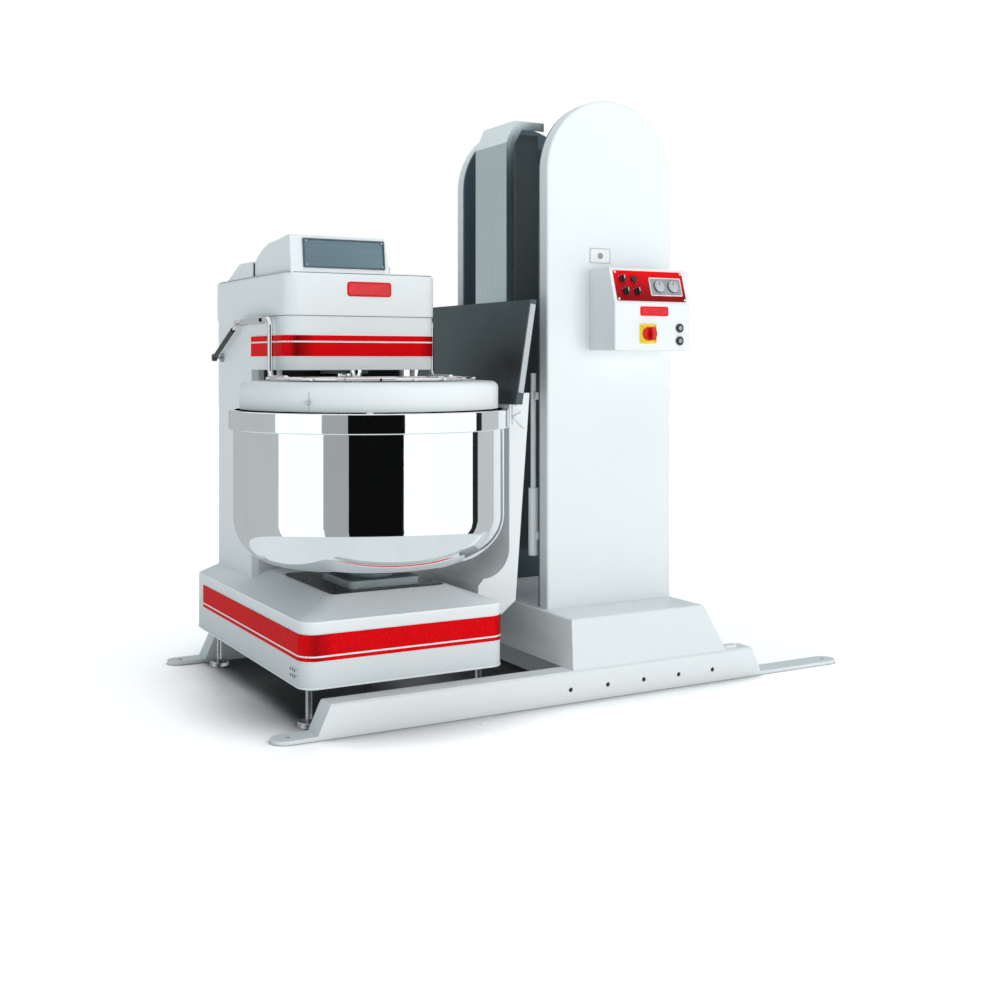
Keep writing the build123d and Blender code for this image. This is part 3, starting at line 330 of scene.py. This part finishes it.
def casting(name, pale, deep):
    """Painted casting with a pebbled skin."""
    material, node, link, shader = shader_tree(name)
    link(ramp(node, link, noise(node, link, 8, 5), deep, pale), shader.inputs["Base Color"])
    bump(node, link, shader, noise(node, link, 260, 4), 0.3, 0.001)
    shader.inputs["Roughness"].default_value = 0.55
    return material


WHITE = ((0.80, 0.825, 0.83), (0.785, 0.81, 0.816))
# The paler white of the base's hip is a painted highlight.
HIP_PAINTED_HIGHLIGHT = (0.95, 0.96, 0.96)
# The darker red is painted shade: on the bands' turned corners and ends, and at the fascia's foot.
RED, RED_IN_PAINTED_SHADE = (0.82, 0.003, 0.007), (0.22, 0.002, 0.004)
PLATE_GREY = (0.55, 0.58, 0.59)
head_low, head_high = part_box("head_band")
base_low, base_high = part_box("base_band")
box_low, box_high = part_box("control_fascia")
plates_low, plates_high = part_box("info_plates")
chute_low, chute_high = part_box("chute")
arm_low, arm_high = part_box("swing_arm")
mixer_low, mixer_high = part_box("mixer_base")

MATERIALS = {
    "white_enamel": enamel("white_enamel", *WHITE),
    "red_enamel": enamel("red_enamel", RED, (0.62, 0.003, 0.006), (0.3, 0.38), 0.0, 0.12),
    "brushed_stainless": steel("brushed_stainless", (0.40, 0.42, 0.43), (0.30, 0.32, 0.33), (1, 1, 0.03)),
    "polished_stainless": mirror("polished_stainless", (0.90, 0.915, 0.93)),
    "chrome_bar": mirror("chrome_bar", (0.78, 0.79, 0.80), (0.05, 0.12)),
    "machined_steel": steel("machined_steel", (0.45, 0.46, 0.48), (0.3, 0.31, 0.33), (1, 1, 6)),
    "black_plastic": plastic("black_plastic", (0.02, 0.02, 0.022), (0.008, 0.008, 0.009)),
    "red_plastic": plastic("red_plastic", (0.75, 0.01, 0.02), (0.6, 0.005, 0.01), (0.2, 0.3)),
    "yellow_plastic": plastic("yellow_plastic", (0.9, 0.72, 0.03), (0.8, 0.6, 0.02)),
    "cast_grey": casting("cast_grey", (0.2, 0.22, 0.24), (0.12, 0.135, 0.15)),
    "belt_rubber": plastic("belt_rubber", (0.03, 0.03, 0.03), (0.015, 0.015, 0.015), (0.6, 0.8)),
    "silver_plate": steel("silver_plate", (0.22, 0.30, 0.34), (0.13, 0.19, 0.23), (0.03, 1, 1), (0.3, 0.45)),
}
# Finishes of single nodes that differ from the rest of their slot, some with tones that change across them;
# on the red bands, fascia, swing arm and mixer base those tones are painted shade and painted highlights,
# and the column plates' dark slate is painted shade.
OWN_FINISH = {
    # Red bands: the darker red at their turned corners and right ends is painted shade.
    "head_band": shaded_enamel("head_red_painted_shade", "X", (
        (head_low.x, RED), (head_low.x + 0.012, RED), (head_low.x + 0.035, RED_IN_PAINTED_SHADE),
        (head_low.x + 0.10, RED), (head_high.x - 0.07, RED), (head_high.x, RED_IN_PAINTED_SHADE),
    ), 0.9, 30, 0.03),
    "base_band": shaded_enamel("base_red_painted_shade", "X", (
        (base_low.x, RED), (base_low.x + 0.012, RED), (base_low.x + 0.04, (0.42, 0.003, 0.006)),
        (base_low.x + 0.10, RED), (base_high.x - 0.05, RED), (base_high.x, RED_IN_PAINTED_SHADE),
    ), 0.72, 120, 0.03),
    # Fascia: the darker red towards its foot is painted shade.
    "control_fascia": shaded_enamel("fascia_red_painted_shade", "Z", (
        (box_low.z, RED_IN_PAINTED_SHADE), (box_low.z + 0.05, (0.42, 0.004, 0.008)), (box_high.z, RED),
    )),
    "info_plates": shaded_enamel("plate_tones", "Z", (
        (plates_low.z, RED), (box_high.z, RED),
        (box_high.z + 0.002, PLATE_GREY), (plates_high.z, PLATE_GREY),
    )),
    "chute": steel(
        "gunmetal", (0.115, 0.145, 0.15), (0.085, 0.11, 0.115), (0.4, 1, 1), (0.30, 0.38), 0.03, 12),
    "arm_cover": steel(
        "cover_steel", (0.74, 0.83, 0.845), (0.68, 0.77, 0.785), (1, 1, 0.02), (0.26, 0.32), 0.04, 140),
    # Swing arm: the pale and dark stripes across it are painted highlights and painted shade.
    "swing_arm": shaded_enamel("arm_painted_shade_and_highlights", "X", (
        (arm_low.x, (0.30, 0.35, 0.36)), (arm_low.x + 0.05, (0.11, 0.135, 0.14)),
        (arm_low.x + 0.11, (0.38, 0.44, 0.45)), (arm_low.x + 0.16, (0.10, 0.12, 0.125)),
        (arm_high.x, (0.16, 0.19, 0.195)),
    )),
    # Column plates: their dark slate tone is painted shade inside the columns.
    "rear_column_plate": enamel("rear_plate_painted_shade", (0.075, 0.105, 0.13), (0.055, 0.08, 0.10)),
    "front_column_plate": enamel("inner_plate_painted_shade", (0.10, 0.13, 0.15), (0.08, 0.105, 0.12)),
    "shaft_bearings": casting("bearing_grey", (0.30, 0.35, 0.36), (0.24, 0.28, 0.29)),
    # Mixer base: the paler hip is a painted highlight, and the darker lower part painted shade.
    "mixer_base": shaded_enamel("base_painted_light_and_shade", "Z", (
        (mixer_low.z, (0.66, 0.69, 0.695)), (mixer_high.z - 0.06, WHITE[0]),
        (mixer_high.z - 0.045, HIP_PAINTED_HIGHLIGHT), (mixer_high.z, HIP_PAINTED_HIGHLIGHT),
    )),
}
dial_silver = steel("dial_silver", (0.62, 0.64, 0.66), (0.50, 0.52, 0.54), (1, 1, 1), (0.3, 0.4))
zinc = steel("zinc", (0.62, 0.63, 0.64), (0.48, 0.49, 0.5), (4, 4, 4), (0.25, 0.4), 0.05)
# Black for the dial pointers, and as painted shade for the vent holes and the strip under the head.
black_pointer_and_shade = plastic("black_pointer_and_shade", (0.03, 0.03, 0.032), (0.015, 0.015, 0.016), (0.5, 0.6))
seam_grey = plastic("seam_grey", (0.30, 0.33, 0.34), (0.24, 0.27, 0.28), (0.5, 0.6))
frame_blue = plastic("frame_blue", (0.07, 0.10, 0.12), (0.05, 0.075, 0.09), (0.3, 0.4))
# Near-black for the sheet on the plateau: painted shade.
plateau_shade_black = plastic("plateau_shade_black", (0.016, 0.016, 0.018), (0.008, 0.008, 0.009), (0.22, 0.34), 700, 0.1)
marking = plastic("marking", (0.86, 0.86, 0.86), (0.78, 0.78, 0.78), (0.35, 0.45))
# Grey for the timer window and the label's spot, and as a painted highlight on the push buttons.
grey_window_and_button_highlight = plastic("grey_window_and_button_highlight", (0.34, 0.36, 0.37), (0.26, 0.28, 0.29), (0.12, 0.2), 900, 0.02)

for part in frame["record"]["subparts"]:
    name = part["node"]
    node_object = frame["nodes"][name]
    node_object.data.materials.clear()
    node_object.data.materials.append(OWN_FINISH.get(name, MATERIALS[part["material_slot"]]))


# ------------------------------------------------------------------ pieces in mesh code
def piece(name, body, material, shells):
    """One object from shells: runs of equal rings, skinned, and capped unless they close on themselves."""
    bm = bmesh.new()
    for rings in shells:
        closed = rings[0] is rings[-1]
        loops = [[bm.verts.new(point) for point in ring] for ring in (rings[:-1] if closed else rings)]
        if closed:
            loops.append(loops[0])
        for low, high in zip(loops, loops[1:]):
            for i, corner in enumerate(low):
                j = (i + 1) % len(low)
                bm.faces.new((corner, low[j], high[j], high[i]))
        if not closed:
            bm.faces.new(loops[0][::-1])
            bm.faces.new(loops[-1])
    bmesh.ops.recalc_face_normals(bm, faces=bm.faces)
    mesh = bpy.data.meshes.new(name)
    bm.to_mesh(mesh)
    bm.free()
    mesh.polygons.foreach_set("use_smooth", [True] * len(mesh.polygons))
    mesh.set_sharp_from_angle(angle=math.radians(35))
    mesh.materials.append(material)
    made = bpy.data.objects.new(name, mesh)
    bpy.context.scene.collection.objects.link(made)
    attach(made, body)
    return made


def axes(normal):
    """Right, up and outward directions of a face, as seen from outside it."""
    out = Vector(normal).normalized()
    above = Vector((0, 1, 0)) if abs(out.z) > 0.9 else Vector((0, 0, 1))
    right = above.cross(out).normalized()
    return right, out.cross(right), out


def rounded(width, height, radius, steps=6):
    """Outline of a rounded rectangle about the origin."""
    points = []
    for quarter, (side, rise) in enumerate(((1, 1), (-1, 1), (-1, -1), (1, -1))):
        for step in range(steps + 1):
            angle = math.radians(90 * (quarter + step / steps))
            points.append((
                side * (width / 2 - radius) + radius * math.cos(angle),
                rise * (height / 2 - radius) + radius * math.sin(angle),
            ))
    return points


def plate(place, normal, size, thickness, corner, chamfer=0.0004, turn=0.0):
    """Thin plate with a chamfered rim, its back on a face."""
    right, above, out = axes(normal)
    spin = Matrix.Rotation(math.radians(turn), 3, out)
    right, above = spin @ right, spin @ above
    rings = []
    for inset, height in ((0, 0), (0, thickness - chamfer), (chamfer, thickness)):
        outline = rounded(size[0] - 2 * inset, size[1] - 2 * inset, corner - inset)
        rings.append([Vector(place) + a * right + b * above + height * out for a, b in outline])
    return rings


def lathe(place, normal, profile, segments=32):
    """Profile of (radius, height) turned about an axis standing on a face."""
    right, above, out = axes(normal)
    rings = []
    for radius, height in profile:
        ring = []
        for step in range(segments):
            angle = 2 * math.pi * step / segments
            spoke = math.cos(angle) * right + math.sin(angle) * above
            ring.append(Vector(place) + radius * spoke + height * out)
        rings.append(ring)
    return rings


def hoop(place, normal, section, segments=40):
    """Ring whose cross-section of (radius, height) runs round an axis standing on a face."""
    turned = lathe(place, normal, section, segments)
    rings = [[ring[step] for ring in turned] for step in range(segments)]
    return rings + [rings[0]]


def ribbon(path, low, high, depth):
    """Flat strip along a plan path of (x, y, outward x, outward y), standing out by depth."""
    rings = []
    for x, y, away_x, away_y in path:
        far = (x + depth * away_x, y + depth * away_y)
        back = (x - 0.001 * away_x, y - 0.001 * away_y)
        rings.append([(*back, low), (*far, low), (*far, high), (*back, high)])
    return rings


def casing_path(left, right, front, rear, radius, steps=8):
    """Left side, front and right side of a casing, with its two rounded front corners."""
    path = [(left, rear, -1, 0)]
    for centre_x, start in ((left + radius, 180), (right - radius, 270)):
        for step in range(steps + 1):
            angle = math.radians(start + 90 * step / steps)
            x, y = math.cos(angle), math.sin(angle)
            path.append((centre_x + radius * x, front + radius + radius * y, x, y))
    return path + [(right, rear, 1, 0)]


def screw_head(radius):
    """Domed head with a driver recess."""
    r = radius
    dome = [(r, 0), (r, 0.25 * r), (0.8 * r, 0.5 * r)]
    recess = [(0.45 * r, 0.62 * r), (0.42 * r, 0.3 * r), (0.05 * r, 0.25 * r)]
    return dome + recess


FRONT, LEFT, UP = (0, -1, 0), (-1, 0, 0), (0, 0, 1)


def middle(node_name):
    low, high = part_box(node_name)
    return (low + high) / 2


# ---- control box ----
SLOPE = math.radians(16.74)      # the fascia leans back by this much
slope_out = Vector((0, -math.cos(SLOPE), math.sin(SLOPE)))
slope_up = Vector((0, math.sin(SLOPE), math.cos(SLOPE)))
fascia_origin = Vector(((box_low.x + box_high.x) / 2, box_low.y + 0.0184, box_low.z + 0.0517))
SHEET = 0.003                    # the fascia's thickness
ROW = -0.002                     # height of the timers and their window on the fascia
WINDOW = (0.063, 0.126, 0.060)   # place across the fascia, width and height
FRAME_BAR = 0.003                # width of the window frame's bars
TIMERS = (0.034, 0.092)          # places across the fascia
SELECTORS = ((-0.112, 0.022), (-0.104, -0.022), (-0.058, -0.022))   # across and above
TICK_RADIUS = 0.016
SCREW_SPACING = (0.137, 0.048)   # from the fascia's middle to its corner screws
MARK = 0.0024                    # width of a pointer or mark


def on_fascia(across, above, out):
    """Point on the sloping fascia, or standing out from it."""
    return fascia_origin + Vector((across, 0, 0)) + above * slope_up + out * slope_out


def make_timer_window():
    across, width, height = WINDOW
    pane = plate(on_fascia(across, ROW, 0.005), slope_out, (width, height), 0.0004, SHEET)
    piece("timer_window", "tipper", grey_window_and_button_highlight, [pane])
    bars = []
    for side in (-1, 1):
        at = on_fascia(across, ROW + side * 0.031, SHEET)
        bars.append(plate(at, slope_out, (0.130, FRAME_BAR), 0.0034, 0.001))
    for side in (-1, 1):
        at = on_fascia(across + side * 0.0645, ROW, SHEET)
        bars.append(plate(at, slope_out, (FRAME_BAR, height), 0.0034, 0.001))
    piece("timer_frame", "tipper", marking, bars)


def make_fascia_screws():
    aside, rise = SCREW_SPACING
    corners = [on_fascia(a * aside, b * rise, SHEET) for a in (-1, 1) for b in (-1, 1)]
    heads = [lathe(at, slope_out, screw_head(0.0042), 20) for at in corners]
    piece("fascia_screws", "tipper", marking, heads)


def make_timer(number, across):
    """Silver face and black pointer that turn with the timer's dial."""
    top = on_fascia(across, ROW, 0.012)
    disc = lathe(top, slope_out, [(0.0205, 0), (0.0205, 0.0005), (0.0195, 0.0010), (0.004, 0.0010)])
    piece(f"dial_face_{number}", f"timer_{number}", dial_silver, [disc])
    tip = top + slope_out * 0.0009 + slope_up * 0.010
    pointer = plate(tip, slope_out, (MARK, 0.014), 0.0006, 0.001)
    piece(f"dial_pointer_{number}", f"timer_{number}", black_pointer_and_shade, [pointer])


def make_selector(number, across, above):
    """White line on the selector's grip, and three ticks on the fascia round it."""
    line = plate(on_fascia(across, above + 0.004, 0.0199), slope_out, (MARK, 0.013), 0.0008, 0.0009)
    piece(f"selector_mark_{number}", f"selector_{number}", marking, [line])
    ticks = []
    for angle in (-45, 0, 45):
        aside = TICK_RADIUS * math.sin(math.radians(angle))
        rise = TICK_RADIUS * math.cos(math.radians(angle))
        at = on_fascia(across + aside, above + rise, SHEET)
        ticks.append(plate(at, slope_out, (0.0022, 0.0022), 0.0004, 0.001))
    piece(f"selector_ticks_{number}", "tipper", marking, ticks)


def make_buttons():
    """Grey disc on each push button as a painted highlight, and the bright rings round both."""
    bezel_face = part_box("button_bezels")[0].y + 0.005
    rings = []
    for node_name, body in (("start_button", "start"), ("stop_button", "stop")):
        at = middle(node_name)
        section = [(0.0151, 0), (0.0168, 0), (0.0168, 0.0026), (0.0151, 0.0034)]
        rings.append(hoop((at.x, bezel_face, at.z), FRONT, section))
        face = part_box(node_name)[0].y
        profile = [(0.0078, 0), (0.0078, 0.0006), (0.006, 0.0011), (0.001, 0.0012)]
        piece(f"{body}_cap", body, grey_window_and_button_highlight, [lathe((at.x, face, at.z), FRONT, profile)])
    piece("bezel_rings", "tipper", zinc, rings)


def make_switch_screws():
    low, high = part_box("switch_plate")
    spots = [(x, low.y, z) for x in (low.x + 0.008, high.x - 0.008) for z in (low.z + 0.008, high.z - 0.008)]
    heads = [lathe(at, FRONT, screw_head(0.003), 16) for at in spots]
    piece("switch_screws", "tipper", zinc, heads)


def make_labels():
    """Label with a plain spot above the box, and the badge's plain field on the box."""
    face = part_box("front_column_cover")[0].y - 0.002
    at = Vector((plates_low.x + 0.0425, face, plates_high.z - 0.0265))
    piece("column_label", "tipper", marking, [plate(at, FRONT, (0.077, 0.045), 0.0006, 0.004)])
    profile = [(0.011, 0), (0.011, 0.0003), (0.0105, 0.0005), (0.001, 0.0005)]
    spot = lathe(at + Vector((0, -0.0006, 0)), FRONT, profile)
    piece("column_label_mark", "tipper", grey_window_and_button_highlight, [spot])
    at = (box_low.x + 0.149, plates_low.y, plates_low.z + 0.016)
    field = plate(at, FRONT, (0.108, 0.024), 0.0004, 0.005)
    piece("box_badge_field", "tipper", MATERIALS["red_plastic"], [field])


def make_box_side_screws():
    low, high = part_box("control_box")
    spots = [(low.x, y, z) for y in (low.y + 0.05, high.y - 0.03) for z in (low.z + 0.03, low.z + 0.13)]
    heads = [lathe(at, LEFT, screw_head(0.0045), 20) for at in spots]
    piece("box_side_screws", "tipper", MATERIALS["white_enamel"], heads)


# ---- head and hood ----
STRIPE = 0.005                   # height of a pinstripe
STRIPE_DEPTH = 0.0004            # how far it stands out of its band
LEAN = math.radians(6.6)         # the hood's front leans back by this much
SHADE_SHEET_FOOT = 1.000            # height of the dark strip's lower edge


def make_pinstripes():
    path = casing_path(head_low.x, head_high.x, head_low.y, head_high.y, 0.048)
    top = head_high.z - 0.018
    piece("head_pinstripe", "mixer", marking, [ribbon(path, top - STRIPE, top, STRIPE_DEPTH)])
    path = casing_path(base_low.x, base_high.x, base_low.y, base_high.y, 0.053)
    top = base_low.z + 0.016
    piece("base_pinstripe", "mixer", marking, [ribbon(path, top - STRIPE, top, STRIPE_DEPTH)])


def make_hood_seam():
    inset = 0.0022
    path = casing_path(head_low.x + inset, head_high.x - inset, head_low.y + inset, head_high.y, 0.046)
    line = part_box("head_hood")[0].z
    piece("hood_seam", "mixer", seam_grey, [ribbon(path, line - 0.003, line + 0.001, 0.0006)])


def make_head_badge_field():
    low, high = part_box("head_badge")
    at = (low + high) / 2
    size = (high.x - low.x - 0.010, high.z - low.z - 0.010)
    field = plate((at.x, low.y, at.z), FRONT, size, 0.0005, 0.006)
    piece("head_badge_field", "mixer", MATERIALS["red_plastic"], [field])


def make_hood_plate():
    """Screws and frame of the plate on the hood's leaning front."""
    low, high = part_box("hood_plate")
    out = Vector((0, -math.cos(LEAN), math.sin(LEAN)))
    up = Vector((0, math.sin(LEAN), math.cos(LEAN)))
    at = (low + high) / 2 + out * 0.0026
    half = Vector(((high.x - low.x) / 2 - 0.010, 0, 0))
    spots = [at + a * half + b * 0.039 * up for a in (-1, 1) for b in (-1, 1)]
    heads = [lathe(spot, out, screw_head(0.0042), 20) for spot in spots]
    piece("hood_plate_screws", "mixer", zinc, heads)
    back = at - 0.0008 * out
    size = (high.x - low.x, 0.005)
    bars = [plate(back + side * 0.0455 * up, out, size, 0.0016, 0.002) for side in (-1, 1)]
    reach = half + Vector((0.0075, 0, 0))
    bars += [plate(back + side * reach, out, (0.005, 0.086), 0.0016, 0.002) for side in (-1, 1)]
    piece("hood_plate_frame", "mixer", frame_blue, bars)


def make_shade_sheet_under_head():
    """Dark strip under the head, behind the spiral's shaft: a black sheet put where the gap under the head
    is in shade, as painted shade.
    """
    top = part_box("rear_guard")[1].z - 0.001
    at = ((head_low.x + head_high.x) / 2, head_high.y - 0.092, (SHADE_SHEET_FOOT + top) / 2)
    size = (head_high.x - head_low.x - 0.03, top - SHADE_SHEET_FOOT)
    piece("shade_sheet_under_head", "mixer", black_pointer_and_shade, [plate(at, FRONT, size, 0.003, 0.002)])


# ---- guard ----
BOWL_RADIUS = 0.45
SEAM_TURN = math.radians(-139)   # where the ring's seam stands, from +X


def make_guard_seam():
    """Seam of the guard's ring, with the small knob on it."""
    low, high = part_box("guard_ring")
    centre_x, centre_y = (low.x + high.x) / 2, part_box("bowl")[0].y + BOWL_RADIUS
    out = Vector((math.cos(SEAM_TURN), math.sin(SEAM_TURN), 0))
    radius = high.x - centre_x
    at = Vector((centre_x, centre_y, (low.z + high.z) / 2 - 0.012)) + out * (radius - 0.0004)
    seam = plate(at, out, (0.0024, 0.058), 0.0008, 0.001)
    piece("guard_seam", "guard", MATERIALS["machined_steel"], [seam])
    profile = [(0.004, 0), (0.004, 0.004), (0.007, 0.0055), (0.007, 0.010), (0.0055, 0.012), (0.001, 0.0125)]
    piece("guard_knob", "guard", zinc, [lathe(at + Vector((0, 0, -0.004)), out, profile, 24)])


# ---- base ----
VENT_STEP = 0.018                # from one vent hole to the next
CORNER = 0.05                    # radius of the base's front corners


# Near-black sheet on the base's plateau under the bowl: painted shade standing for the bowl's shadow there.
def make_plateau_shade_sheet():
    front, rear = mixer_low.y + 0.138, head_high.y - 0.12
    at = ((mixer_low.x + mixer_high.x) / 2, (front + rear) / 2, mixer_high.z)
    size = (mixer_high.x - mixer_low.x - 0.29, rear - front)
    piece("plateau_shade_sheet", "mixer", plateau_shade_black, [plate(at, UP, size, 0.004, 0.02)])


def make_base_vents():
    """Dark fill of the six vent holes in the base's left side, as painted shade for the holes' insides."""
    profile = [(0.0045, 0), (0.0045, 0.0003), (0.004, 0.0004), (0.0005, 0.0004)]
    vents = []
    for column in range(3):
        for row in range(2):
            y = mixer_low.y + 0.075 + VENT_STEP * column
            z = mixer_low.z + 0.028 + VENT_STEP * row
            vents.append(lathe((mixer_low.x, y, z), LEFT, profile, 16))
    piece("base_vents", "mixer", black_pointer_and_shade, vents)


def make_base_lip():
    path = casing_path(mixer_low.x, mixer_high.x, mixer_low.y, mixer_high.y, CORNER)
    lip = ribbon(path, mixer_low.z, mixer_low.z + 0.006, 0.002)
    piece("base_lip", "mixer", MATERIALS["white_enamel"], [lip])


# ---- tipper and chute ----
def make_rail_block():
    rail_low, rail_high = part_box("front_rail")
    at = (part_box("plinth")[1].x + 0.03, rail_low.y + 0.03, rail_high.z)
    block = plate(at, UP, (0.05, 0.03), 0.012, 0.004, 0.002)
    piece("rail_block", "tipper", MATERIALS["white_enamel"], [block])


def make_chute_trim():
    at = ((chute_low.x + chute_high.x) / 2 + 0.003, chute_low.y, (chute_low.z + chute_high.z) / 2 + 0.012)
    size = (0.020, chute_high.z - chute_low.z - 0.05)
    piece("chute_trim", "mixer", dial_silver, [plate(at, FRONT, size, 0.001, 0.003, turn=-9.1)])


def make_bracket_screw():
    low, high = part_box("chute_bracket")
    at = ((low.x + high.x) / 2, low.y, high.z - 0.03)
    piece("bracket_screw", "tipper", zinc, [lathe(at, FRONT, screw_head(0.008), 24)])


make_timer_window()
make_fascia_screws()
for number, across in enumerate(TIMERS, 1):
    make_timer(number, across)
for number, (across, above) in enumerate(SELECTORS, 1):
    make_selector(number, across, above)
make_buttons()
make_switch_screws()
make_labels()
make_box_side_screws()
make_pinstripes()
make_hood_seam()
make_head_badge_field()
make_hood_plate()
make_shade_sheet_under_head()
make_guard_seam()
make_plateau_shade_sheet()
make_base_vents()
make_base_lip()
make_rail_block()
make_chute_trim()
make_bracket_screw()
make_camera()
make_world()
make_floor()
area_light("overhead", (0.2, -1.3, 8.0), (-0.1, 0, 0.8), 4.5, 185, (1, 0.99, 0.985))
area_light("front", (2.4, -9.5, 0.9), (0, 0, 0.5), 5.0, 430, (1, 0.985, 0.98))
bpy.context.scene.view_settings.view_transform = "Standard"
